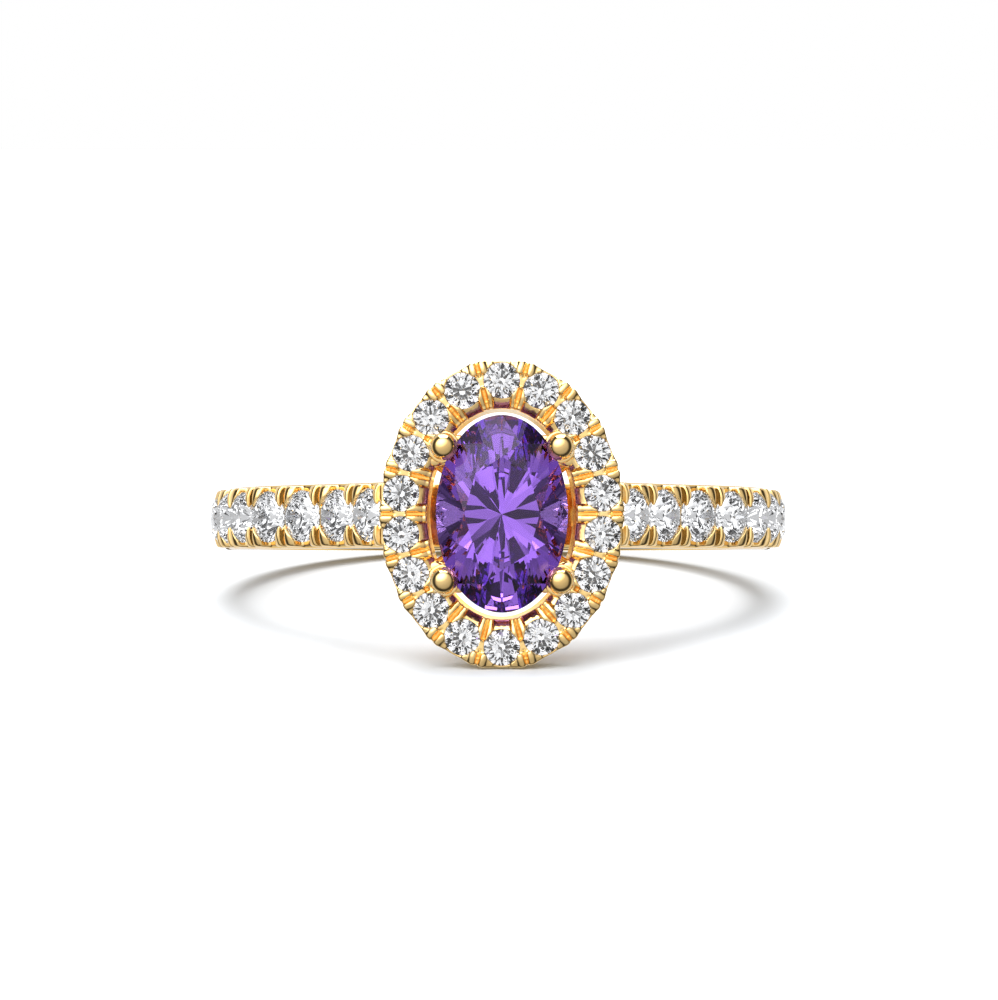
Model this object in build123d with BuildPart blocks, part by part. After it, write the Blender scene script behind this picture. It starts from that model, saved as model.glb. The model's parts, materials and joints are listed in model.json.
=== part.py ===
"""Engagement ring: an oval centre stone in a four-prong basket, a halo of small stones, and a cathedral shank
whose two shoulders are set with stones in cut-down claws.

The ring is modelled upright, in millimetres: the finger hole's axis is Y, the head points up along Z, and the
oval's long axis lies along Y. The finished pieces are then laid down together, as the ring rests on a table:
on the edge of the halo and on the back of the shank, with the head facing -Y.
"""

import math
import os

from build123d import *

# Shank. Finger hole of a US size 6.
FINGER_RADIUS = 8.25
SLEEVE_RADIUS = 9.0  # outside of the shank where the shoulders and the basket stand on it
BACK_RADIUS = 9.6  # outside of the plain back
SHANK_WIDTH = 2.05
SEAM_Z = -1.4  # height at which the plain back meets the shoulders
BACK_ROUND = 0.22
BORE_ROUND = 0.12

# Shoulders: set bars, which follow the shank, leave it at 45 degrees and climb to the halo.
CLAW_TOP_RADIUS = 9.65  # tops of the claws beside the finger hole
CLIMB = [(8.9, 4.05), (8.14, 5.615), (7.05, 6.97), (4.77, 9.6), (3.86, 11.08), (3.66, 11.5)]
BAR_DEPTH = 1.2
CLAW_ROW_WIDTH = 1.92
LEDGE_DEPTH = 0.5  # the claws are cut down to a ledge, which is as wide as the shank
SHOULDER_STONES = 8
SHOULDER_PITCH = 1.74
SHOULDER_STONE_RADIUS = 0.825
SHOULDER_SINK = 0.15  # girdle below the tops of the claws
SHANK_HOLLOW = 0.95  # depth of the blind hollows in the shank, below the girdles of the stones over them
FIRST_CLAWS = 0.43  # from the end of the bar to the claws beside the halo
SHOULDER_CHANNEL = (0.84, 0.26)  # width and depth of the low middle between two stones
SHOULDER_NOTCH = 0.44  # radius of the cut beside each stone
SHOULDER_SPLIT = (0.15, 0.34)  # width and depth of the cut between two claws

# Head: centre stone, halo, prongs and basket rail.
GIRDLE_Z = 12.6
STONE_SEMI_X = 2.0
STONE_SEMI_Y = 3.0
HALO_OUTER = (3.75, 4.75)
HALO_INNER = (2.3, 3.25)
HALO_LEAN = 0.2  # the outer wall leans in by this much towards its foot
HALO_INNER_LEAN = 0.12  # and the inner wall narrows the opening by this much
HALO_TOP = 12.45
HALO_BOTTOM = 11.2
HALO_STONES = 18
HALO_PATH = (3.1, 4.06)
HALO_STONE_RADIUS = 0.55
HALO_SINK = 0.12
HALO_CHANNEL = (0.5, 0.2)
HALO_NOTCH = 0.3
HALO_SPLIT = (0.1, 0.26)
PRONG_XY = (1.77, 2.03)
PRONG_RADIUS = 0.42
PRONG_TOP = 13.3
NECK_RADIUS = 0.3
LEG_TOP_Z = 12.3
LEG_TOP = (0.3, 0.7)  # half widths of a leg across and along the halo
LEG_FOOT = (0.3, 0.4)
LEG_IN = 0.1  # the leg's top stands this much further in than the ball
RAIL_SEMI = (1.3, 1.8)
RAIL_Z = 9.15
RAIL_RADIUS = 0.38

# Cut of the stones, as shares of the radius, and the room that every seat leaves round its stone.
TABLE = 0.57
STAR_LENGTH = 0.5
LOWER_HALF_LENGTH = 0.78
CROWN = 0.31
GIRDLE = 0.07
PAVILION = 0.86
CENTRE_PAVILION = 1.1  # the centre stone is cut deeper, with more mains below its girdle
CENTRE_MAINS = 12
SEAT_CLEARANCE = 0.008
CLAW_REACH = 0.085  # how far a claw comes in over the stone's edge

# How the ring lies: on the foot of the halo and on the rounded edge of its back.
LEAN = 9.72

MAINS = 8  # main facets of a brilliant's crown
STEP = 360 / MAINS


def plan_point(radius, angle, height, semi_x, semi_y):
    """A point of the brilliant at a share of the girdle's radius, stretched to the oval's half axes."""
    turn = math.radians(angle)
    return Vector(semi_x * radius * math.cos(turn), semi_y * radius * math.sin(turn), height)


def facet_plane(points):
    """The plane through three points of a facet, with its normal away from the stone's axis."""
    a, b, c = points
    normal = (b - a).cross(c - a).normalized()
    if normal.dot((a + b + c) * (1 / 3)) < 0:
        normal = normal * -1
    return Plane(origin=a, z_dir=normal)


def crown_facets(semi_x, semi_y, crown):
    """Stars, bezels and upper halves, with the girdle's upper edge at height 0."""
    half = math.cos(math.radians(STEP / 2))
    star_radius = TABLE * half + STAR_LENGTH * (1 - TABLE * half)
    star_height = crown * (1 - star_radius * half) / (1 - TABLE)
    for k in range(MAINS):
        turn = k * STEP
        edge = plan_point(1, turn, 0, semi_x, semi_y)
        corner = plan_point(TABLE, turn, crown, semi_x, semi_y)
        next_corner = plan_point(TABLE, turn + STEP, crown, semi_x, semi_y)
        star = plan_point(star_radius, turn + STEP / 2, star_height, semi_x, semi_y)
        last_star = plan_point(star_radius, turn - STEP / 2, star_height, semi_x, semi_y)
        yield facet_plane((corner, next_corner, star))
        yield facet_plane((last_star, corner, star))
        yield facet_plane((edge, plan_point(1, turn + STEP / 2, 0, semi_x, semi_y), star))
        yield facet_plane((edge, plan_point(1, turn - STEP / 2, 0, semi_x, semi_y), last_star))


def pavilion_facets(semi_x, semi_y, girdle, pavilion, mains):
    """Mains and lower halves, below the girdle's lower edge."""
    step = 360 / mains
    half = math.cos(math.radians(step / 2))
    low_radius = 1 - LOWER_HALF_LENGTH
    low_height = -girdle - pavilion * (1 - low_radius * half)
    culet = Vector(0, 0, -girdle - pavilion)
    for k in range(mains):
        turn = k * step
        edge = plan_point(1, turn, -girdle, semi_x, semi_y)
        low = plan_point(low_radius, turn + step / 2, low_height, semi_x, semi_y)
        last_low = plan_point(low_radius, turn - step / 2, low_height, semi_x, semi_y)
        yield facet_plane((culet, last_low, low))
        yield facet_plane((edge, plan_point(1, turn + step / 2, -girdle, semi_x, semi_y), low))
        yield facet_plane((edge, plan_point(1, turn - step / 2, -girdle, semi_x, semi_y), last_low))


def brilliant(semi_x, semi_y, pavilion_share=PAVILION, mains=MAINS):
    """A brilliant with its girdle's upper edge at height 0 and its table facing +Z, cut facet by facet."""
    crown, girdle, pavilion = (share * semi_x for share in (CROWN, GIRDLE, pavilion_share))
    facets = [*crown_facets(semi_x, semi_y, crown), *pavilion_facets(semi_x, semi_y, girdle, pavilion, mains)]
    with BuildPart() as gem:
        with BuildSketch(Plane.XY.offset(-girdle - pavilion)):
            if semi_x == semi_y:
                Circle(semi_x)
            else:
                Ellipse(semi_x, semi_y)
        extrude(amount=crown + girdle + pavilion)
        for facet in facets:
            split(bisect_by=facet, keep=Keep.BOTTOM)
    return gem.part


def seat(radius, drill_radius, drill_depth, claw_reach, above):
    """What the setter cuts away for a round stone: the drilled hole, the bearing and the room for the crown."""
    bearing = radius + SEAT_CLEARANCE
    bottom = -GIRDLE * radius - SEAT_CLEARANCE
    slope = PAVILION
    neck = bottom - slope * (bearing - drill_radius)
    crown_slope = CROWN / (1 - TABLE)
    with BuildPart() as cutter:
        with BuildSketch(Plane.XZ):
            with BuildLine():
                Polyline(
                    (0, -drill_depth),
                    (drill_radius, -drill_depth),
                    (drill_radius, neck),
                    (bearing, bottom),
                    (bearing, SEAT_CLEARANCE),
                    (bearing - claw_reach, SEAT_CLEARANCE + crown_slope * claw_reach),
                    (bearing - claw_reach, above),
                    (0, above),
                    close=True,
                )
            make_face()
        revolve(axis=Axis.Z)
    return cutter.part


def even_turns(semi_x, semi_y, count, samples=14400):
    """Ellipse parameters, in radians, of points evenly spaced along the ellipse from its +Y end."""
    turns = [math.pi / 2 + 2 * math.pi * k / samples for k in range(samples + 1)]
    places = [(semi_x * math.cos(t), semi_y * math.sin(t)) for t in turns]
    run = [0.0]
    for a, b in zip(places, places[1:]):
        run.append(run[-1] + math.dist(a, b))
    found, k = [], 0
    for n in range(count):
        while run[k] < run[-1] * n / count:
            k += 1
        found.append(turns[k])
    return found


def halo_plane(turn, height):
    """A plane on the halo's stone path with X along the path, Y inwards or outwards and Z up."""
    semi_x, semi_y = HALO_PATH
    along = (-semi_x * math.sin(turn), semi_y * math.cos(turn), 0)
    return Plane(origin=(semi_x * math.cos(turn), semi_y * math.sin(turn), height), x_dir=along, z_dir=(0, 0, 1))


# The stones, each with a main facet at the end of both axes, and the room cut for the centre stone.
centre_cut = (CENTRE_PAVILION, CENTRE_MAINS)
centre_stone = brilliant(STONE_SEMI_X, STONE_SEMI_Y, *centre_cut).moved(Location((0, 0, GIRDLE_Z)))
stone_seat = brilliant(STONE_SEMI_X + SEAT_CLEARANCE, STONE_SEMI_Y + SEAT_CLEARANCE, *centre_cut)
stone_seat = stone_seat.moved(Location((0, 0, GIRDLE_Z + SEAT_CLEARANCE / 2)))
shoulder_stone = brilliant(SHOULDER_STONE_RADIUS, SHOULDER_STONE_RADIUS)
halo_stone = brilliant(HALO_STONE_RADIUS, HALO_STONE_RADIUS)

# The line along the tops of the right shoulder's claws, from the seam up to the halo.
with BuildLine(Plane.XZ) as shoulder_line:
    seam_turn = math.degrees(math.asin(SEAM_Z / CLAW_TOP_RADIUS))
    land = CenterArc((0, 0), CLAW_TOP_RADIUS, seam_turn, -seam_turn)
    Spline(land @ 1, *CLIMB, tangents=(land % 1, (CLIMB[-1][0] - CLIMB[-2][0], CLIMB[-1][1] - CLIMB[-2][1])))
claw_line = shoulder_line.wire()


def claw_plane(steps, depth=0):
    """A plane on the claw line, a number of pitches down from the first claws, with X up the line and Z out."""
    place = claw_line.length - FIRST_CLAWS - steps * SHOULDER_PITCH
    up = claw_line.tangent_at(place, position_mode=PositionMode.LENGTH)
    origin = claw_line.position_at(place, position_mode=PositionMode.LENGTH)
    plane = Plane(origin=origin, x_dir=up, z_dir=(up.Z, 0, -up.X))
    return plane.offset(-depth)


def bar(width, top, bottom):
    """A bar along the claw line between two depths below it."""
    start = claw_line @ 0
    with BuildPart() as strip:
        with BuildSketch(Plane(origin=start, x_dir=(1, 0, 0), z_dir=claw_line % 0)):
            with Locations((-(top + bottom) / 2, 0)):
                Rectangle(bottom - top, width)
        sweep(path=claw_line)
    return strip.part


def side_notches(radius, inner, outer):
    """A pair of round notches, their axis on the girdle, from one distance to another along Y on both sides."""
    with BuildPart() as notches:
        with BuildSketch(Plane.XZ.offset(-inner)):
            Circle(radius)
            with Locations((0, radius)):
                Rectangle(2 * radius, 2 * radius)
        extrude(amount=-(outer - inner))
        mirror(about=Plane.XZ)
    return notches.part


def split_cuts(width, depth, inner, outer):
    """A pair of V-shaped cuts down from height 0, from one distance to another along Y on both sides."""
    with BuildPart() as cuts:
        with BuildSketch(Plane.XZ.offset(-inner)):
            with BuildLine():
                Polyline((0, -depth), (width / 2, 0), (width / 2, 0.2), (-width / 2, 0.2), (-width / 2, 0), close=True)
            make_face()
        extrude(amount=-(outer - inner))
        mirror(about=Plane.XZ)
    return cuts.part


# Cutters for the shoulders.
narrow_bar = bar(CLAW_ROW_WIDTH, 0, LEDGE_DEPTH)
wide_bar = bar(SHANK_WIDTH, LEDGE_DEPTH, BAR_DEPTH)
channel = bar(SHOULDER_CHANNEL[0], -0.1, SHOULDER_CHANNEL[1])
shoulder_seat = seat(SHOULDER_STONE_RADIUS, 0.42, 1.3, CLAW_REACH, 0.6)
shoulder_notches = side_notches(SHOULDER_NOTCH, 0.5, 1.2)
shoulder_splits = split_cuts(*SHOULDER_SPLIT, 0.3, 1.2)
shank_hollow = seat(SHOULDER_STONE_RADIUS, 0.42, SHANK_HOLLOW, CLAW_REACH, 0.6)

# Shank: a thin sleeve all the way round, thicker over the plain back.
with BuildPart() as shank:
    with BuildSketch(Plane.XZ.offset(-SHANK_WIDTH / 2)):
        Circle(BACK_RADIUS)
        with Locations((0, SEAM_Z)):
            Rectangle(3 * BACK_RADIUS, 2 * BACK_RADIUS, align=(Align.CENTER, Align.MIN), mode=Mode.SUBTRACT)
        Circle(SLEEVE_RADIUS)
        Circle(FINGER_RADIUS, mode=Mode.SUBTRACT)
    extrude(amount=SHANK_WIDTH)
    bore_rims = shank.edges().filter_by(GeomType.CIRCLE).filter_by(lambda e: abs(e.radius - FINGER_RADIUS) < 0.01)
    back_rims = shank.edges().filter_by(GeomType.CIRCLE).filter_by(lambda e: abs(e.radius - BACK_RADIUS) < 0.01)
    fillet(bore_rims, radius=BORE_ROUND)
    fillet(back_rims, radius=BACK_ROUND)
    for k in range(3, SHOULDER_STONES):
        stone_place = claw_plane(k + 0.5, SHOULDER_SINK)
        add(shank_hollow.moved(stone_place.location), mode=Mode.SUBTRACT)
    split(bisect_by=Plane.YZ, keep=Keep.TOP)
    mirror(about=Plane.YZ)

with BuildPart() as right_shoulder:
    add(wide_bar)
    add(narrow_bar)
    add(channel, mode=Mode.SUBTRACT)
    for k in range(SHOULDER_STONES):
        stone_place = claw_plane(k + 0.5, SHOULDER_SINK)
        add(shoulder_seat.moved(stone_place.location), mode=Mode.SUBTRACT)
        add(shoulder_notches.moved(stone_place.location), mode=Mode.SUBTRACT)
    for k in range(SHOULDER_STONES + 1):
        claw_place = claw_plane(k)
        add(shoulder_splits.moved(claw_place.location), mode=Mode.SUBTRACT)
    with Locations(Rotation(90, 0, 0)):
        Cylinder(SLEEVE_RADIUS, 2 * SHANK_WIDTH, mode=Mode.SUBTRACT)
    split(bisect_by=Plane.XY.offset(HALO_BOTTOM), keep=Keep.BOTTOM)
    split(bisect_by=Plane.XY.offset(SEAM_Z), keep=Keep.TOP)

left_shoulder = mirror(right_shoulder.part, about=Plane.YZ)

# One prong: a wide leg that leans in to the rail, and a ball on a neck over the centre stone's edge.
prong_turn = math.degrees(math.atan2(PRONG_XY[1], PRONG_XY[0]))
ball_reach = math.hypot(*PRONG_XY)
foot_reach = RAIL_SEMI[0] * RAIL_SEMI[1] / math.hypot(
    RAIL_SEMI[1] * math.cos(math.radians(prong_turn)), RAIL_SEMI[0] * math.sin(math.radians(prong_turn))
)

# Basket rail: an oval wire that straddles the shank under the centre stone.
with BuildPart() as rail:
    with BuildLine(Plane.XY.offset(RAIL_Z)) as rail_line:
        EllipticalCenterArc((0, 0), *RAIL_SEMI, arc_size=180)
    with BuildSketch(Plane(origin=rail_line.wire() @ 0, x_dir=(1, 0, 0), z_dir=rail_line.wire() % 0)):
        Circle(RAIL_RADIUS)
    sweep(path=rail_line.wire())
    mirror(about=Plane.XZ)
    with Locations(Rotation(90, 0, 0)):
        Cylinder(SLEEVE_RADIUS, SHANK_WIDTH, mode=Mode.SUBTRACT)

with BuildPart() as prong:
    with BuildSketch(Plane.XY.offset(LEG_TOP_Z).rotated((0, 0, prong_turn))):
        with Locations((ball_reach - LEG_IN, 0)):
            Ellipse(*LEG_TOP)
    with BuildSketch(Plane.XY.offset(RAIL_Z).rotated((0, 0, prong_turn))):
        with Locations((foot_reach, 0)):
            Ellipse(*LEG_FOOT)
    loft()
    with Locations((*PRONG_XY, LEG_TOP_Z)):
        Cylinder(NECK_RADIUS, PRONG_TOP - PRONG_RADIUS - LEG_TOP_Z, align=(Align.CENTER, Align.CENTER, Align.MIN))
    with Locations((*PRONG_XY, PRONG_TOP - PRONG_RADIUS)):
        Sphere(PRONG_RADIUS)
    add(stone_seat, mode=Mode.SUBTRACT)
    add(rail.part, mode=Mode.SUBTRACT)
    with Locations(Rotation(90, 0, 0)):
        Cylinder(SLEEVE_RADIUS, SHANK_WIDTH, mode=Mode.SUBTRACT)
prongs = {
    ("right", "top"): prong.part,
    ("left", "top"): mirror(prong.part, about=Plane.YZ),
    ("right", "bottom"): mirror(prong.part, about=Plane.XZ),
    ("left", "bottom"): mirror(mirror(prong.part, about=Plane.YZ), about=Plane.XZ),
}

# Halo: an oval plate, drilled and cut for its stones, with split claws along both rims.
halo_seat = seat(HALO_STONE_RADIUS, 0.3, 1.6, CLAW_REACH * 0.8, 0.5)
halo_notches = side_notches(HALO_NOTCH, 0.38, 1.0)
halo_splits = split_cuts(*HALO_SPLIT, 0.22, 1.1)
halo_turns = even_turns(*HALO_PATH, 2 * HALO_STONES)
with BuildPart() as halo_frame:
    with BuildSketch(Plane.XY.offset(HALO_TOP)):
        Ellipse(*HALO_OUTER)
    with BuildSketch(Plane.XY.offset(HALO_BOTTOM)):
        Ellipse(HALO_OUTER[0] - HALO_LEAN, HALO_OUTER[1] - HALO_LEAN)
    loft()
    with BuildSketch(Plane.XY.offset(HALO_TOP)):
        Ellipse(*HALO_INNER)
    with BuildSketch(Plane.XY.offset(HALO_BOTTOM)):
        Ellipse(HALO_INNER[0] - HALO_INNER_LEAN, HALO_INNER[1] - HALO_INNER_LEAN)
    loft(mode=Mode.SUBTRACT)
    with BuildSketch(Plane.XY.offset(HALO_TOP - HALO_CHANNEL[1])):
        Ellipse(HALO_PATH[0] + HALO_CHANNEL[0] / 2, HALO_PATH[1] + HALO_CHANNEL[0] / 2)
        Ellipse(HALO_PATH[0] - HALO_CHANNEL[0] / 2, HALO_PATH[1] - HALO_CHANNEL[0] / 2, mode=Mode.SUBTRACT)
    extrude(amount=1, mode=Mode.SUBTRACT)
    for turn in halo_turns[0::2]:
        stone_place = halo_plane(turn, HALO_TOP - HALO_SINK).location
        add(halo_seat.moved(stone_place), mode=Mode.SUBTRACT)
        add(halo_notches.moved(stone_place), mode=Mode.SUBTRACT)
    for turn in halo_turns[1::2]:
        claw_place = halo_plane(turn, HALO_TOP).location
        add(halo_splits.moved(claw_place), mode=Mode.SUBTRACT)
    for leg in prongs.values():
        add(leg, mode=Mode.SUBTRACT)

# Every piece by name, upright.
pieces = {
    "shank": shank.part,
    "left_shoulder": left_shoulder,
    "right_shoulder": right_shoulder.part,
    "basket_rail": rail.part,
    "halo_frame": halo_frame.part,
    "centre_stone": centre_stone,
}
for (side, end), leg in prongs.items():
    pieces[f"prong_{end}_{side}"] = leg
for number, turn in enumerate(halo_turns[0::2], start=1):
    pieces[f"halo_stone_{number:02d}"] = halo_stone.moved(halo_plane(turn, HALO_TOP - HALO_SINK).location)
for k in range(SHOULDER_STONES):
    stone = shoulder_stone.moved(claw_plane(k + 0.5, SHOULDER_SINK).location)
    pieces[f"right_shoulder_stone_{k + 1}"] = stone
    pieces[f"left_shoulder_stone_{k + 1}"] = mirror(stone, about=Plane.YZ)

# Lay the ring down and set it on the origin: middle of its box in X and Y, table at Z = 0.
laid = {name: piece.moved(Location((0, 0, 0), (90 - LEAN, 0, 0))) for name, piece in pieces.items()}
box = Compound(children=[Part(piece.wrapped) for piece in laid.values()]).bounding_box()
shift = Location((-box.center().X, -box.center().Y, -box.min.Z))
os.makedirs("parts", exist_ok=True)
for name, piece in laid.items():
    placed = Part(piece.moved(shift).wrapped)
    placed.label = name
    export_step(placed, f"parts/{name}.step")
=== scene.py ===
"""Looks of the engagement ring: polished gold with cut claws, faceted stones, studio floor and light."""

import json
import math

import bpy
import numpy as np
from mathutils import Matrix, Vector


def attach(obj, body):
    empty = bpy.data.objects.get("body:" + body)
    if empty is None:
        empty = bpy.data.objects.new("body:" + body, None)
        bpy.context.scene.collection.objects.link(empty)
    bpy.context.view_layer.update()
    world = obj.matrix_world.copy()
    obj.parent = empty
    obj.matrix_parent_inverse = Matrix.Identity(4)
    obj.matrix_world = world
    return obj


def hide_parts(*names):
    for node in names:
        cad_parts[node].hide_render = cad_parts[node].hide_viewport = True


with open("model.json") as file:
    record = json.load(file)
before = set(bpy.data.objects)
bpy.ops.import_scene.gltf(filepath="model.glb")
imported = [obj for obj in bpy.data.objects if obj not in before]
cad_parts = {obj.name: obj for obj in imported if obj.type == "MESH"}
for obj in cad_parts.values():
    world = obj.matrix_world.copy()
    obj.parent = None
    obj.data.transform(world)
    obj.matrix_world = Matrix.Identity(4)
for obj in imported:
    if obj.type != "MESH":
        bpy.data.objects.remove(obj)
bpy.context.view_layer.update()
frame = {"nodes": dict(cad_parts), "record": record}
MM = 0.001

# The ring's own frame: X to the right, Y along the finger hole's axis, Z from its centre to the head.
bore = next(m for m in frame["record"]["mounts"] if m["name"] == "finger_bore")
CENTRE = Vector(bore["pos_m"])
AXIS = Vector(bore["axis"]).normalized()
HEAD = Vector((0, -AXIS.z, AXIS.y))
LAY = Matrix((
    (MM, 0, 0, CENTRE.x),
    (0, MM * AXIS.y, MM * HEAD.y, CENTRE.y),
    (0, MM * AXIS.z, MM * HEAD.z, CENTRE.z),
    (0, 0, 0, 1),
))
LAY_ARRAY = np.array(LAY)

# Sizes in millimetres, as in the castings.
SLEEVE_RADIUS = 9.0
FINGER_RADIUS = 8.25
BACK_RADIUS = 9.6
SHANK_WIDTH = 2.05
SEAM_Z = -1.4
SEAM_STEP = 0.002  # radians, across which the back steps down to the sleeve
CLAW_TOP_RADIUS = 9.65
CLIMB = [(8.9, 4.05), (8.14, 5.615), (7.05, 6.97), (4.77, 9.6), (3.86, 11.08), (3.66, 11.5)]
BAR_DEPTH = 1.2
BAR_CLEAR_RADIUS = 8.6
CLAW_ROW_WIDTH = 1.92
LEDGE_DEPTH = 0.5
SHOULDER_STONES = 8
PITCH = 1.74
SHOULDER_STONE_RADIUS = 0.825
SHOULDER_SINK = 0.15
# Seats: heights above the girdle, then the opening's radii there.
SHOULDER_SEAT = ([-0.8, -0.40, -0.06, 0.0, 0.07, 0.4], [0.42, 0.45, 0.83, 0.84, 0.77, 0.77])
GIRDLE = 0.07  # share of a stone's radius, as is the pavilion's depth
PAVILION = 0.86
STONE_ROOM = 0.03
FIRST_CLAWS = 0.43
HALO_OUTER = (3.75, 4.75)
HALO_INNER = (2.3, 3.25)
HALO_LEAN = 0.2
HALO_INNER_LEAN = 0.12
HALO_WAIST = 0.045  # how far the outline draws in between its claws
HALO_TOP = 12.45
HALO_BOTTOM = 11.2
HALO_STONES = 18
HALO_PATH = (3.1, 4.06)
HALO_STONE_RADIUS = 0.55
HALO_SINK = 0.12
HALO_SEAT = ([-0.6, -0.30, -0.04, 0.0, 0.04, 0.3], [0.28, 0.30, 0.555, 0.56, 0.52, 0.52])
HALO_CUT_DEPTH = 0.26
PRONG_XY = (1.77, 2.03)
PRONG_RADIUS = 0.42
PRONG_TOP = 13.3
NECK_RADIUS = 0.30
NECK_FOOT = 12.0
LEG_TOP = 12.3
LEG_HALF_DEPTH = 0.29
LEG_HALF_WIDTHS = (0.68, 0.38)  # at the top and at the rail
RAIL_SEMI = (1.3, 1.8)
RAIL_Z = 9.15
RAIL_RADIUS = 0.38
SEAT_SLACK = 0.9  # scales distances to a seat's wall, which slopes
FAR = 1e9


# ---------------------------------------------------------------- shape fields
def smooth_max(a, b, k):
    h = np.clip(0.5 + 0.5 * (a - b) / k, 0, 1)
    return b + (a - b) * h + k * h * (1 - h)


def smooth_min(a, b, k):
    return -smooth_max(-a, -b, k)


def ellipse_distance(x, y, a, b):
    """Signed distance to an ellipse, good near its edge."""
    k0 = np.sqrt((x / a) ** 2 + (y / b) ** 2)
    k1 = np.sqrt((x / a**2) ** 2 + (y / b**2) ** 2) + 1e-9
    return k0 * (k0 - 1) / k1


def grid_size(low, high, step):
    """How many samples a grid needs on each axis to reach from one corner to the other."""
    return np.ceil((np.array(high) - low) / step).astype(int)


def net(field, low, step):
    """Vertices and quads of the surface where a grid of distances changes sign."""
    inside = field < 0
    cells = tuple(n - 1 for n in field.shape)
    corners = [(i, j, k) for i in (0, 1) for j in (0, 1) for k in (0, 1)]
    total = np.zeros(cells, np.int8)
    for i, j, k in corners:
        total += inside[i:i + cells[0], j:j + cells[1], k:k + cells[2]]
    mixed = (total > 0) & (total < 8)
    index = np.argwhere(mixed)
    number = np.full(cells, -1, np.int64)
    number[mixed] = np.arange(len(index))
    place = np.zeros((len(index), 3))
    count = np.zeros(len(index))
    for a in corners:
        for axis in range(3):
            if a[axis]:
                continue
            b = list(a)
            b[axis] = 1
            fa = field[tuple((index + a).T)]
            fb = field[tuple((index + b).T)]
            crossing = (fa < 0) != (fb < 0)
            share = np.where(crossing, fa / np.where(crossing, fa - fb, 1), 0)
            point = np.tile(np.array(a, float), (len(index), 1))
            point[:, axis] += share
            place += np.where(crossing[:, None], point, 0)
            count += crossing
    vertices = np.array(low) + (index + place / count[:, None]) * step
    quads = []
    for axis in range(3):
        u, v = (axis + 1) % 3, (axis + 2) % 3
        here = [slice(None)] * 3
        there = [slice(None)] * 3
        here[axis], there[axis] = slice(0, -1), slice(1, None)
        fa, fb = inside[tuple(here)], inside[tuple(there)]
        for flipped in (False, True):
            edges = np.argwhere((fa & ~fb) if not flipped else (~fa & fb))
            keep = (edges[:, u] > 0) & (edges[:, v] > 0)
            keep &= (edges[:, u] < cells[u]) & (edges[:, v] < cells[v])
            edges = edges[keep]
            ring = []
            for du, dv in ((-1, -1), (0, -1), (0, 0), (-1, 0)):
                cell = edges.copy()
                cell[:, u] += du
                cell[:, v] += dv
                ring.append(number[tuple(cell.T)])
            block = np.stack(ring, 1)
            quads.append(block[:, ::-1] if flipped else block)
    return vertices, np.concatenate(quads)


def piece(name, vertices, faces, plated=None):
    """A new mesh object riding on the ring, from vertices in the ring's own frame in millimetres, with the
    share of white plating at each vertex."""
    points = np.c_[np.asarray(vertices, float), np.ones(len(vertices))] @ LAY_ARRAY.T
    mesh = bpy.data.meshes.new(name)
    mesh.from_pydata(points[:, :3].tolist(), [], [list(map(int, f)) for f in faces])
    mesh.validate()
    mesh.update()
    mesh.shade_smooth()
    if plated is not None:
        attribute = mesh.attributes.new("plated", "FLOAT", "POINT")
        attribute.data.foreach_set("value", plated.astype(np.float32))
    ob = bpy.data.objects.new(name, mesh)
    bpy.context.scene.collection.objects.link(ob)
    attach(ob, "root")
    return ob


def seat_share(beyond, below):
    """How far a point lies inside a stone's seat, from its distances beyond the girdle and below it."""
    depth = np.clip((below - 0.05) / 0.05, 0, 1) * np.clip((0.75 - below) / 0.1, 0, 1)
    return np.clip((-0.01 - beyond) / 0.04, 0, 1) * depth


# ---------------------------------------------------------------- halo
def even_turns(semi_x, semi_y, count, samples=14400):
    """Ellipse parameters of points evenly spaced along it from its +Y end."""
    t = np.linspace(math.pi / 2, math.pi * 2.5, samples + 1)
    strides = np.hypot(np.diff(semi_x * np.cos(t)), np.diff(semi_y * np.sin(t)))
    run = np.r_[0, np.cumsum(strides)]
    return np.interp(run[-1] * np.arange(count) / count, run, t)


HALO_TURNS = even_turns(*HALO_PATH, 2 * HALO_STONES)


def path_frame(turn):
    """Point, direction along and direction outwards, at a turn of the halo's stone path."""
    a, b = HALO_PATH
    point = np.array((a * math.cos(turn), b * math.sin(turn)))
    along = np.array((-a * math.sin(turn), b * math.cos(turn)))
    along /= np.hypot(*along)
    return point, along, np.array((along[1], -along[0]))


def nearest_local(x, y, turns):
    """For each point of a plan, along and outward coordinates from the nearest of some turns of the path."""
    best = np.full(x.shape, FAR)
    u, v = np.zeros(x.shape), np.zeros(x.shape)
    for turn in turns:
        point, along, out = path_frame(turn)
        dx, dy = x - point[0], y - point[1]
        far = dx * dx + dy * dy
        near = far < best
        best = np.where(near, far, best)
        u = np.where(near, dx * along[0] + dy * along[1], u)
        v = np.where(near, dx * out[0] + dy * out[1], v)
    return u, v


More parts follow.
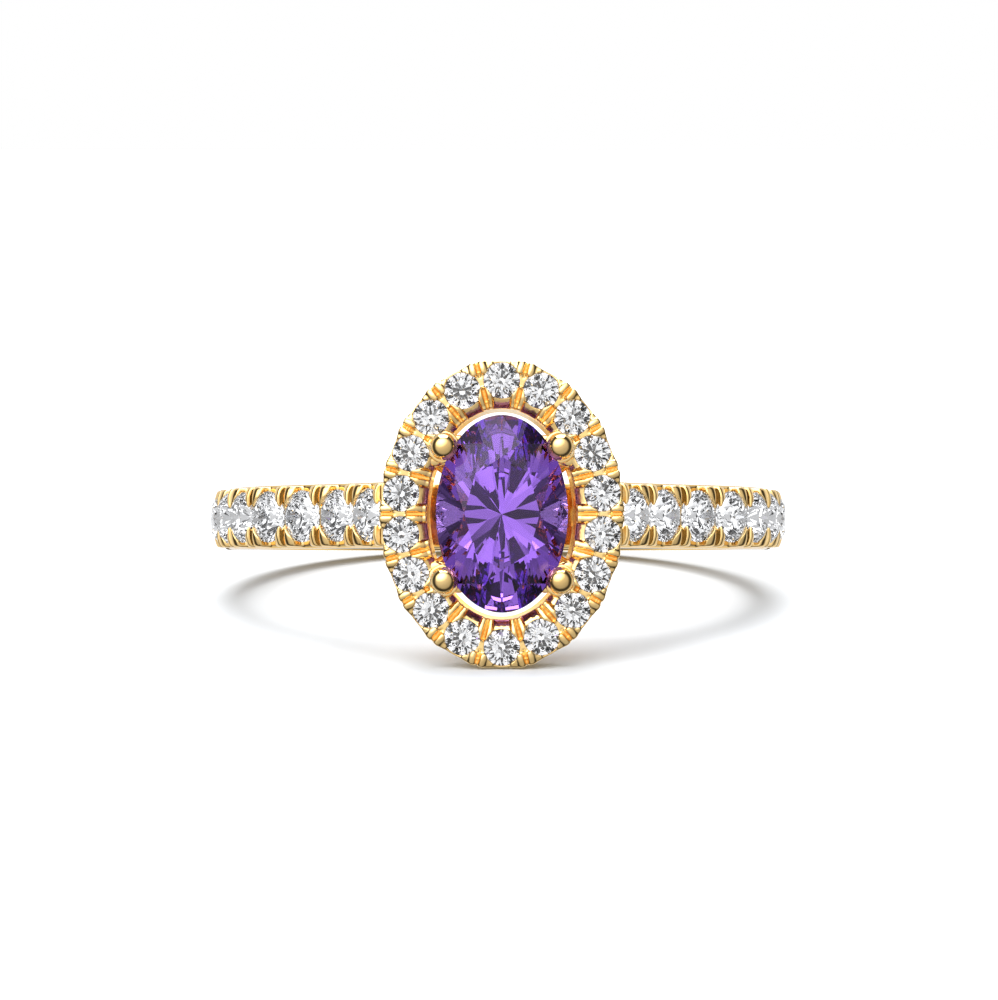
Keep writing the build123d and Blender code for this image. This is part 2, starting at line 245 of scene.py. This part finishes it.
def make_halo(step):
    """The oval frame, cut layer by layer from fields over its plan. In the plan u runs along the path of
    stones and v outwards from it, from the nearest stone (s) or pair of claws (c). w is the height from the
    frame's top."""
    low = np.array((-HALO_OUTER[0] - 3 * step, -HALO_OUTER[1] - 3 * step, HALO_BOTTOM - 3 * step))
    size = grid_size(low, np.array((*HALO_OUTER, HALO_TOP)) + 3 * step, step)
    x = (low[0] + np.arange(size[0]) * step)[:, None].astype(np.float32)
    y = (low[1] + np.arange(size[1]) * step)[None, :].astype(np.float32)
    x, y = np.broadcast_arrays(x, y)
    su, sv = nearest_local(x, y, HALO_TURNS[0::2])
    cu, cv = nearest_local(x, y, HALO_TURNS[1::2])
    sr = np.hypot(su, sv)
    outer_top = ellipse_distance(x, y, *HALO_OUTER)
    inner_top = -ellipse_distance(x, y, *HALO_INNER)
    collar = np.full(x.shape, FAR)
    for px in (-1, 1):
        for py in (-1, 1):
            collar = np.minimum(collar, np.hypot(x - px * PRONG_XY[0], y - py * PRONG_XY[1]))
    waist = HALO_WAIST * np.clip((np.abs(cu) - 0.22) / 0.25, 0, 1)
    layers = []
    for k in range(size[2]):
        z = low[2] + k * step
        w = z - HALO_TOP
        share = (HALO_TOP - z) / (HALO_TOP - HALO_BOTTOM)
        outer = outer_top + HALO_LEAN * share + waist
        inner = inner_top - HALO_INNER_LEAN * share
        # the top of each claw is domed along its own middle and falls away to the rim
        dome = 3.5 * np.clip(np.abs(cu) - 0.15, -0.15, 0.15) ** 2
        dome = dome + 0.7 * np.clip(np.abs(cv) - 0.40, 0, 0.3) ** 1.5
        d = smooth_max(outer, inner, 0.03)
        d = smooth_max(d, w + dome, 0.05)
        d = smooth_max(d, HALO_BOTTOM - z, 0.05)
        # between stones the middle is low; beside each stone the rims are low and slope outwards
        girdle = w + HALO_SINK
        notch = np.abs(su) - 0.27 - 0.25 * np.clip(girdle, 0, 1)
        notch = smooth_max(notch, 0.34 - np.abs(sv), 0.05)
        slope = np.where(sv > 0, 0.25, 0.5) * np.clip(np.abs(sv) - 0.52, 0, 1)
        notch = smooth_max(notch, -(girdle + 0.03 + slope), 0.05)
        channel = smooth_max(np.abs(sv) - 0.2, -(girdle + 0.08), 0.05)
        d = smooth_max(d, -notch, 0.04)
        d = smooth_max(d, -channel, 0.05)
        # the seat
        opening = np.interp(girdle, *HALO_SEAT)
        d = smooth_max(d, -(sr - opening) * SEAT_SLACK, 0.03)
        # the cut between the two claws of a pair
        groove = np.abs(cu) - (0.01 + 0.26 * np.clip(w + HALO_CUT_DEPTH, 0, 1))
        groove = smooth_max(groove, 0.16 - np.abs(cv), 0.04)
        groove = smooth_max(groove, -(w + HALO_CUT_DEPTH), 0.03)
        d = smooth_max(d, -groove, 0.025)
        # a collar round each prong
        ring = smooth_max(collar - 0.50, w + 0.04, 0.06)
        ring = smooth_max(ring, -(w + 0.6), 0.06)
        ring = smooth_max(ring, -(sr - 0.56), 0.03)
        d = smooth_min(d, ring, 0.03)
        layers.append(d.astype(np.float32))
    vertices, quads = net(np.stack(layers, 2), low, step)
    from_stone = np.hypot(*nearest_local(vertices[:, 0], vertices[:, 1], HALO_TURNS[0::2]))
    below = HALO_TOP - HALO_SINK - vertices[:, 2]
    return piece("halo", vertices, quads, seat_share(from_stone - HALO_STONE_RADIUS, below))


# ---------------------------------------------------------------- shoulders
def claw_line():
    """The line along the tops of the claws, as dense points with their lengths and tangents."""
    seam = math.asin(SEAM_Z / CLAW_TOP_RADIUS)
    t = np.linspace(seam, 0, 40)[:-1]
    land = np.c_[CLAW_TOP_RADIUS * np.cos(t), CLAW_TOP_RADIUS * np.sin(t)]
    knots = np.array([(CLAW_TOP_RADIUS, 0), *CLIMB])
    span = np.hypot(*np.diff(knots, axis=0).T)
    s = np.r_[0, np.cumsum(span)]
    # a clamped cubic through the knots, one coordinate at a time
    n = len(knots)
    matrix, right = np.zeros((n, n)), np.zeros((n, 2))
    matrix[0, 0] = matrix[-1, -1] = 1
    right[0] = (0, 1)
    right[-1] = (knots[-1] - knots[-2]) / span[-1]
    for i in range(1, n - 1):
        matrix[i, i - 1:i + 2] = (span[i], 2 * (span[i - 1] + span[i]), span[i - 1])
        slope = np.diff(knots, axis=0) / span[:, None]
        right[i] = 3 * (span[i] * slope[i - 1] + span[i - 1] * slope[i])
    slopes = np.linalg.solve(matrix, right)
    dense = np.linspace(0, s[-1], 1200)
    k = np.clip(np.searchsorted(s, dense) - 1, 0, n - 2)
    u = ((dense - s[k]) / span[k])[:, None]
    h = span[k][:, None]
    climb = ((2 * u**3 - 3 * u**2 + 1) * knots[k] + (u**3 - 2 * u**2 + u) * h * slopes[k]
             + (3 * u**2 - 2 * u**3) * knots[k + 1] + (u**3 - u**2) * h * slopes[k + 1])
    points = np.r_[land, climb]
    run = np.r_[0, np.cumsum(np.hypot(*np.diff(points, axis=0).T))]
    tangent = np.gradient(points, run, axis=0)
    tangent /= np.hypot(*tangent.T)[:, None]
    return points, run, tangent


LINE, RUN, TANGENT = claw_line()
LENGTH = RUN[-1]


def on_line(s, depth):
    """X and Z of points at lengths along the claw line and depths below it."""
    x, z = (np.interp(s, RUN, LINE[:, i]) for i in (0, 1))
    tx, tz = (np.interp(s, RUN, TANGENT[:, i]) for i in (0, 1))
    return x - tz * depth, z + tx * depth


def make_shoulder(name, side, step):
    """One bar, as a field over lengths s along the claw line, widths y and depths d below the line."""
    low = np.array((0.0, -SHANK_WIDTH / 2 - 3 * step, -3 * step))
    size = grid_size(low, (LENGTH, SHANK_WIDTH / 2 + 3 * step, BAR_DEPTH + 3 * step), step)
    s = (low[0] + np.arange(size[0]) * step)[:, None, None]
    y = (low[1] + np.arange(size[1]) * step)[None, :, None]
    d = (low[2] + np.arange(size[2]) * step)[None, None, :]
    x, z = on_line(s, d)
    place = (LENGTH - FIRST_CLAWS - s) / PITCH
    claw_u = (place - np.round(place)) * PITCH
    stone_place = np.clip(np.floor(place), 0, SHOULDER_STONES - 1)
    stone_u = (place - stone_place - 0.5) * PITCH
    ay = np.abs(y)
    girdle = SHOULDER_SINK - d
    # the row of claws on the wider base band
    dome = 1.6 * np.clip(np.abs(claw_u) - 0.21, -0.21, 0.21) ** 2
    dome = dome + 0.5 * np.clip(ay - 0.62, 0, 1) ** 1.5
    row = smooth_max(ay - CLAW_ROW_WIDTH / 2 - 0.02 * np.clip(d, 0, 1), dome - d, 0.08)
    base = smooth_max(ay - SHANK_WIDTH / 2, LEDGE_DEPTH - d, 0.10)
    metal = smooth_min(row, base, 0.06)
    metal = smooth_max(metal, d - BAR_DEPTH, 0.08)
    # beside each stone the row is cut down to the base
    notch = np.abs(stone_u) - 0.40 - 0.18 * np.clip(girdle, -0.5, 1)
    notch = smooth_max(notch, 0.46 - ay, 0.08)
    notch = smooth_max(notch, -(girdle + 0.33), 0.12)
    metal = smooth_max(metal, -notch, 0.06)
    channel = smooth_max(ay - 0.30, -(girdle + 0.10), 0.06)
    metal = smooth_max(metal, -channel, 0.06)
    # seats
    radius = np.hypot(stone_u, y)
    opening = np.interp(girdle, *SHOULDER_SEAT)
    metal = smooth_max(metal, -(radius - opening) * SEAT_SLACK, 0.035)
    # the cut between the two claws of a pair
    cut = (np.abs(claw_u) - 0.34 * np.clip(0.44 - d, 0, 1)) * 0.95
    cut = smooth_max(cut, 0.28 - ay, 0.06)
    cut = smooth_max(cut, d - 0.42, 0.05)
    metal = smooth_max(metal, -cut, 0.035)
    # ends: at the seam, under the halo and clear of the bore
    metal = smooth_max(metal, z - HALO_BOTTOM, 0.02)
    metal = smooth_max(metal, SEAM_Z - z, 0.04)
    metal = np.maximum(metal, BAR_CLEAR_RADIUS - np.hypot(x, z))
    vertices, quads = net(metal.astype(np.float32), low, step)
    px, pz = on_line(vertices[:, 0], vertices[:, 2])
    points = np.c_[side * px, vertices[:, 1], pz]
    place = (LENGTH - FIRST_CLAWS - vertices[:, 0]) / PITCH
    stone_place = np.clip(np.floor(place), 0, SHOULDER_STONES - 1)
    from_stone = np.hypot((place - stone_place - 0.5) * PITCH, vertices[:, 1])
    plated = seat_share(from_stone - SHOULDER_STONE_RADIUS, vertices[:, 2] - SHOULDER_SINK)
    return piece(name, points, quads if side < 0 else quads[:, ::-1], plated)


# ---------------------------------------------------------------- prongs
def make_prong(name, side, end, step):
    """A leaning leg, a neck and a ball, built in the top right quarter and turned over into its own."""
    reach = math.hypot(*PRONG_XY)
    out = np.array(PRONG_XY) / reach
    foot = RAIL_SEMI[0] * RAIL_SEMI[1] / math.hypot(RAIL_SEMI[1] * out[0], RAIL_SEMI[0] * out[1])
    low = np.array((0.45, 0.3, RAIL_Z - 0.2))
    size = grid_size(low, (2.35, 2.75, PRONG_TOP + 0.1), step)
    x = (low[0] + np.arange(size[0]) * step)[:, None, None]
    y = (low[1] + np.arange(size[1]) * step)[None, :, None]
    z = (low[2] + np.arange(size[2]) * step)[None, None, :]
    r = x * out[0] + y * out[1]
    t = -x * out[1] + y * out[0]
    ball_z = PRONG_TOP - PRONG_RADIUS
    ball = np.sqrt((x - PRONG_XY[0]) ** 2 + (y - PRONG_XY[1]) ** 2 + (z - ball_z) ** 2) - PRONG_RADIUS
    neck = smooth_max(np.hypot(x - PRONG_XY[0], y - PRONG_XY[1]) - NECK_RADIUS, z - ball_z, 0.02)
    neck = smooth_max(neck, NECK_FOOT - z, 0.02)
    share = np.clip((LEG_TOP - z) / (LEG_TOP - RAIL_Z), 0, 1)
    middle = (reach - 0.1) * (1 - share) + foot * share
    half_width = LEG_HALF_WIDTHS[0] * (1 - share) + LEG_HALF_WIDTHS[1] * share
    leg = np.sqrt(((r - middle) / LEG_HALF_DEPTH) ** 2 + (t / half_width) ** 2) - 1
    leg = smooth_max(leg * LEG_HALF_DEPTH * 0.9, z - (LEG_TOP - 0.04), 0.12)
    leg = smooth_max(leg, RAIL_Z - z, 0.02)
    d = smooth_min(smooth_min(leg, neck, 0.12), ball, 0.05)
    vertices, quads = net(np.broadcast_to(d, size).astype(np.float32), low, step)
    vertices *= (side, end, 1)
    return piece(name, vertices, quads if side * end > 0 else quads[:, ::-1])


# ---------------------------------------------------------------- shank and rail
def clear_of_stones(vertices):
    """The sleeve's points, pushed in below the shoulder stones where their pavilions reach it."""
    moved = vertices.copy()
    for k in range(SHOULDER_STONES):
        s = LENGTH - FIRST_CLAWS - (k + 0.5) * PITCH
        middle = np.array(on_line(s, 0))
        inward = np.array(on_line(s, 1)) - middle
        for side in (1, -1):
            x, z = side * vertices[:, 0] - middle[0], vertices[:, 2] - middle[1]
            depth = x * inward[0] + z * inward[1]
            beyond = np.hypot(x * inward[1] - z * inward[0], vertices[:, 1])
            pavilion = SHOULDER_SINK + SHOULDER_STONE_RADIUS * (GIRDLE + PAVILION) - PAVILION * beyond
            push = np.clip(pavilion + STONE_ROOM - depth, 0, None)
            push = push * (beyond < SHOULDER_STONE_RADIUS) * (depth > 0)
            moved[:, 0] += side * push * inward[0]
            moved[:, 2] += push * inward[1]
    return moved


def make_shank(name):
    """The sleeve and the thicker back, as rings of a rounded section that changes at the seam."""
    def section(outer, outer_round, bore_round, points=7):
        half = SHANK_WIDTH / 2
        loop = []
        for cy, cr, start, rounding in (
            (half - outer_round, outer - outer_round, 0, outer_round),
            (half - bore_round, FINGER_RADIUS + bore_round, 90, bore_round),
            (-half + bore_round, FINGER_RADIUS + bore_round, 180, bore_round),
            (-half + outer_round, outer - outer_round, 270, outer_round),
        ):
            for k in range(points):
                a = math.radians(start + 90 * k / (points - 1))
                loop.append((cr + rounding * math.cos(a), cy + rounding * math.sin(a)))
        loop += [(outer, y) for y in np.linspace(outer_round - half, half - outer_round, 24)[1:-1]]
        return np.array(loop)

    thick = section(BACK_RADIUS, 0.22, 0.12)
    thin = section(SLEEVE_RADIUS, 0.06, 0.12)
    seam = math.asin(SEAM_Z / BACK_RADIUS)
    rings = [(a, thin) for a in np.linspace(seam + SEAM_STEP, math.pi - seam - SEAM_STEP, 340)]
    rings += [(a, thick) for a in np.linspace(math.pi - seam, math.pi * 2 + seam, 200)]
    n = len(thin)
    vertices = np.concatenate([
        np.c_[loop[:, 0] * math.cos(a), loop[:, 1], loop[:, 0] * math.sin(a)] for a, loop in rings
    ])
    faces = []
    for i in range(len(rings)):
        j = (i + 1) % len(rings)
        for k in range(n):
            m = (k + 1) % n
            faces.append((i * n + k, i * n + m, j * n + m, j * n + k))
    return piece(name, clear_of_stones(vertices), faces)


def make_rail(name):
    """The oval wire under the centre stone."""
    around, across = 160, 32
    vertices, faces = [], []
    for i in range(around):
        t = 2 * math.pi * i / around
        point = Vector((RAIL_SEMI[0] * math.cos(t), RAIL_SEMI[1] * math.sin(t), RAIL_Z))
        along = Vector((-RAIL_SEMI[0] * math.sin(t), RAIL_SEMI[1] * math.cos(t), 0)).normalized()
        out = Vector((along.y, -along.x, 0))
        for k in range(across):
            a = 2 * math.pi * k / across
            vertices.append(point + RAIL_RADIUS * (out * math.cos(a) + Vector((0, 0, math.sin(a)))))
            faces.append((i * across + k, i * across + (k + 1) % across,
                          (i + 1) % around * across + (k + 1) % across, (i + 1) % around * across + k))
    return piece(name, vertices, [f[::-1] for f in faces])


STEP = 0.03
gold_pieces = {
    "halo": (make_halo(STEP), ["halo_frame"]),
    "right_shoulder_bar": (make_shoulder("right_shoulder_bar", 1, STEP), ["right_shoulder"]),
    "left_shoulder_bar": (make_shoulder("left_shoulder_bar", -1, STEP), ["left_shoulder"]),
    "band": (make_shank("band"), ["shank"]),
    "rail": (make_rail("rail"), ["basket_rail"]),
}
for side, side_name in ((1, "right"), (-1, "left")):
    for end, end_name in ((1, "top"), (-1, "bottom")):
        name = f"prong_{end_name}_{side_name}"
        gold_pieces[name + "_cast"] = (make_prong(name + "_cast", side, end, STEP), [name])


# ---------------------------------------------------------------- materials
def material(name):
    """A new node material with its nodes, its links and its shader."""
    mat = bpy.data.materials.new(name)
    mat.use_nodes = True
    nodes, links = mat.node_tree.nodes, mat.node_tree.links
    return mat, nodes, links, nodes["Principled BSDF"]


def gold_material():
    """Polished yellow gold with a faint grain and fine polishing marks."""
    mat, nodes, links, shader = material("yellow_gold")
    shader.inputs["Metallic"].default_value = 1
    coords = nodes.new("ShaderNodeTexCoord")

    def grain(scale, detail, low, high):
        noise = nodes.new("ShaderNodeTexNoise")
        noise.inputs["Scale"].default_value = scale
        noise.inputs["Detail"].default_value = detail
        links.new(coords.outputs["Object"], noise.inputs["Vector"])
        span = nodes.new("ShaderNodeMapRange")
        span.inputs["From Min"].default_value = 0.3
        span.inputs["From Max"].default_value = 0.7
        span.inputs["To Min"].default_value = low
        span.inputs["To Max"].default_value = high
        links.new(noise.outputs["Fac"], span.inputs["Value"])
        return span.outputs["Result"]

    tint = nodes.new("ShaderNodeMix")
    tint.data_type = "RGBA"
    tint.inputs["A"].default_value = (0.90, 0.60, 0.23, 1)
    tint.inputs["B"].default_value = (0.96, 0.69, 0.31, 1)
    links.new(grain(900, 3, 0, 1), tint.inputs["Factor"])
    seats = nodes.new("ShaderNodeAttribute")
    seats.attribute_name = "plated"
    plating = nodes.new("ShaderNodeMix")
    plating.data_type = "RGBA"
    plating.inputs["B"].default_value = (0.80, 0.81, 0.84, 1)
    links.new(tint.outputs["Result"], plating.inputs["A"])
    links.new(seats.outputs["Fac"], plating.inputs["Factor"])
    links.new(plating.outputs["Result"], shader.inputs["Base Color"])
    links.new(grain(2500, 4, 0.07, 0.13), shader.inputs["Roughness"])
    bump = nodes.new("ShaderNodeBump")
    bump.inputs["Strength"].default_value = 0.06
    bump.inputs["Distance"].default_value = 0.02 * MM
    links.new(grain(6000, 2, 0, 1), bump.inputs["Height"])
    links.new(bump.outputs["Normal"], shader.inputs["Normal"])
    return mat


def gem_material(name, color, ior, shine, absorb=None, density=0):
    """A clear cut stone; shine scales its surface reflections, and absorb and density colour its depth."""
    mat, nodes, links, shader = material(name)
    shader.inputs["Transmission Weight"].default_value = 1
    shader.inputs["Roughness"].default_value = 0
    shader.inputs["IOR"].default_value = ior
    shader.inputs["Base Color"].default_value = (*color, 1)
    shader.inputs["Specular Tint"].default_value = (*shine, 1)
    if absorb:
        volume = nodes.new("ShaderNodeVolumeAbsorption")
        volume.inputs["Color"].default_value = (*absorb, 1)
        volume.inputs["Density"].default_value = density
        links.new(volume.outputs["Volume"], nodes["Material Output"].inputs["Volume"])
    return mat


gold = gold_material()
diamond = gem_material("clear_stone", (0.80, 0.81, 0.83), 2.42, (0.5, 0.5, 0.5))
purple = gem_material(
    "purple_stone", (0.60, 0.42, 0.86), 1.76, (0.55, 0.42, 0.7), absorb=(0.475, 0.225, 0.75), density=300
)

for ob, nodes in gold_pieces.values():
    ob.data.materials.append(gold)
    ob.visible_transmission = ob.name == "halo"  # of all the gold, only the halo is seen through the stones
    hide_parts(*nodes)
for name, ob in frame["nodes"].items():
    if "stone" in name:
        ob.data.materials.clear()
        ob.data.materials.append(purple if name == "centre_stone" else diamond)


# ---------------------------------------------------------------- studio
def studio_light(tree, direction, in_stone):
    """Brightness of the studio in a direction from the ring: a bright front, a dark belt all round the sides
    and a softer back. Only light through the stones sees the front as panels with dark gaps between them."""
    nodes, links = tree.nodes, tree.links

    def maths(operation, *values):
        node = nodes.new("ShaderNodeMath")
        node.operation = operation
        for socket, value in zip(node.inputs, values):
            if isinstance(value, (int, float)):
                socket.default_value = value
            else:
                links.new(value, socket)
        return node.outputs[0]

    def along(vector):
        node = nodes.new("ShaderNodeVectorMath")
        node.operation = "DOT_PRODUCT"
        links.new(direction, node.inputs[0])
        node.inputs[1].default_value = vector
        return node.outputs["Value"]

    def curve(value, stops):
        node = nodes.new("ShaderNodeValToRGB")
        elements = node.color_ramp.elements
        elements[0].position, elements[1].position = stops[0][0], stops[-1][0]
        for place in stops[1:-1]:
            elements.new(place[0])
        for element, (_, level) in zip(elements, stops):
            element.color = (level, level, level, 1)
        links.new(value, node.inputs["Fac"])
        return node.outputs["Color"]

    def blend(a, b):
        return maths("MULTIPLY_ADD", in_stone, maths("SUBTRACT", b, a), a)

    facing = along(HEAD)
    sweep = maths("MULTIPLY_ADD", facing, 0.5, 0.5)
    turn = maths("ARCTAN2", along(AXIS), along(Vector((1, 0, 0))))
    gaps = curve(maths("COSINE", maths("MULTIPLY_ADD", turn, PANELS, 0.6)), PANEL_GAPS)
    gaps = maths("MAXIMUM", gaps, curve(facing, GAPS_FADE))
    stone_light = maths("MULTIPLY", maths("MULTIPLY", curve(sweep, STONE_SWEEP), gaps), STONE_LEVEL)
    tilt = maths("MULTIPLY_ADD", along(METAL_KEY.normalized()), 0.5, 0.5)
    front = maths("MULTIPLY", curve(sweep, METAL_FRONT), curve(tilt, METAL_GLOW))
    metal_light = maths("MULTIPLY", maths("ADD", front, curve(sweep, METAL_BACK)), METAL_LEVEL)
    return blend(metal_light, stone_light)


def light_world():
    """The studio round the ring. The camera sees plain white, light that has come through a stone sees the
    panels, and everything else sees the metal's smoother studio."""
    world = bpy.data.worlds.new("studio")
    bpy.context.scene.world = world
    world.use_nodes = True
    tree = world.node_tree
    coords = tree.nodes.new("ShaderNodeTexCoord")
    path = tree.nodes.new("ShaderNodeLightPath")
    level = studio_light(tree, coords.outputs["Generated"], path.outputs["Is Transmission Ray"])
    seen = tree.nodes.new("ShaderNodeMath")
    seen.operation = "MAXIMUM"
    tree.links.new(path.outputs["Is Camera Ray"], seen.inputs[0])
    tree.links.new(level, seen.inputs[1])
    tree.links.new(seen.outputs[0], tree.nodes["Background"].inputs["Color"])


def make_floor():
    """A white sweep that takes the shadows; the metal and the stones mirror only the studio."""
    mesh = bpy.data.meshes.new("floor")
    corners = [(-FLOOR_HALF, -FLOOR_HALF, 0), (FLOOR_HALF, -FLOOR_HALF, 0),
               (FLOOR_HALF, FLOOR_HALF, 0), (-FLOOR_HALF, FLOOR_HALF, 0)]
    mesh.from_pydata(corners, [], [(0, 1, 2, 3)])
    ob = bpy.data.objects.new("floor", mesh)
    bpy.context.scene.collection.objects.link(ob)
    paper, _, _, shader = material("white_floor")
    shader.inputs["Base Color"].default_value = (0.72, 0.745, 0.775, 1)
    shader.inputs["Roughness"].default_value = 0.9
    shader.inputs["Specular IOR Level"].default_value = 0
    ob.data.materials.append(paper)
    ob.visible_glossy = False
    ob.visible_transmission = False


def softbox(name, location, target, size, radiance):
    """A square lamp of a given brightness to the eye."""
    data = bpy.data.lights.new(name, "AREA")
    data.shape = "SQUARE"
    data.size = size
    data.energy = radiance * math.pi * size * size
    ob = bpy.data.objects.new(name, data)
    ob.location = location
    ob.rotation_mode = "QUATERNION"
    ob.rotation_quaternion = (Vector(target) - Vector(location)).to_track_quat("-Z", "Y")
    ob.visible_camera = False
    bpy.context.scene.collection.objects.link(ob)


FLOOR_HALF = 0.35
STONE_LEVEL = 2.2
STONE_SWEEP = [(0, 0.35), (0.3, 0.4), (0.44, 0.1), (0.48, 0.02), (0.56, 0.02), (0.62, 0.5), (0.7, 0.9),
               (0.8, 1), (0.92, 0.6), (0.985, 0.5), (0.99, 0.02), (1, 0.02)]
PANELS = 7
PANEL_GAPS = [(0.2, 1), (0.5, 0.05)]
GAPS_FADE = [(0.2, 1), (0.45, 0)]
METAL_LEVEL = 3.9
METAL_FRONT = [(0.46, 0), (0.62, 0.05), (0.70, 0.8), (0.8, 1)]
METAL_BACK = [(0, 0.24), (0.3, 0.22), (0.40, 0.06), (0.46, 0.01)]
METAL_KEY = Vector((-0.35, -0.5, 0.8))
METAL_GLOW = [(0, 0.10), (0.5, 0.14), (0.78, 0.22), (0.87, 0.42), (0.96, 0.9), (1, 1)]
light_world()
make_floor()
softbox("overhead", (0, 0.2, 0.55), (0, 0, 0), 0.5, 5.8)

# ---------------------------------------------------------------- camera
PITCH_DOWN = math.radians(1.153)  # of the line of sight against the ring's middle plane
YAW = math.radians(0.51)
DISTANCE = 112.0
SENSOR = 36
FOCAL = 3.28 * SENSOR
AIM = (-0.024, -0.669)  # millimetres from the ring's centre, across and up
RIGHT = Vector((1, 0, 0))
forward = -HEAD * math.cos(PITCH_DOWN) + AXIS * math.sin(PITCH_DOWN)
up = AXIS * math.cos(PITCH_DOWN) + HEAD * math.sin(PITCH_DOWN)
right = RIGHT * math.cos(YAW) - forward * math.sin(YAW)
forward = forward * math.cos(YAW) + RIGHT * math.sin(YAW)
location = CENTRE - (right * AIM[0] + up * AIM[1] + forward * DISTANCE) * MM
data = bpy.data.cameras.new("camera")
camera = bpy.data.objects.new("camera", data)
bpy.context.scene.collection.objects.link(camera)
camera.matrix_world = Matrix((
    (right.x, up.x, -forward.x, location.x),
    (right.y, up.y, -forward.y, location.y),
    (right.z, up.z, -forward.z, location.z),
    (0, 0, 0, 1),
))
data.sensor_width = SENSOR
data.lens = FOCAL
data.clip_start, data.clip_end = 0.001, 100
bpy.context.scene.camera = camera
bpy.context.scene.view_settings.view_transform = "Standard"
# light in a brilliant turns back many times before it comes out
bpy.context.scene.cycles.max_bounces = 20
bpy.context.scene.cycles.glossy_bounces = 12
bpy.context.scene.cycles.transmission_bounces = 16
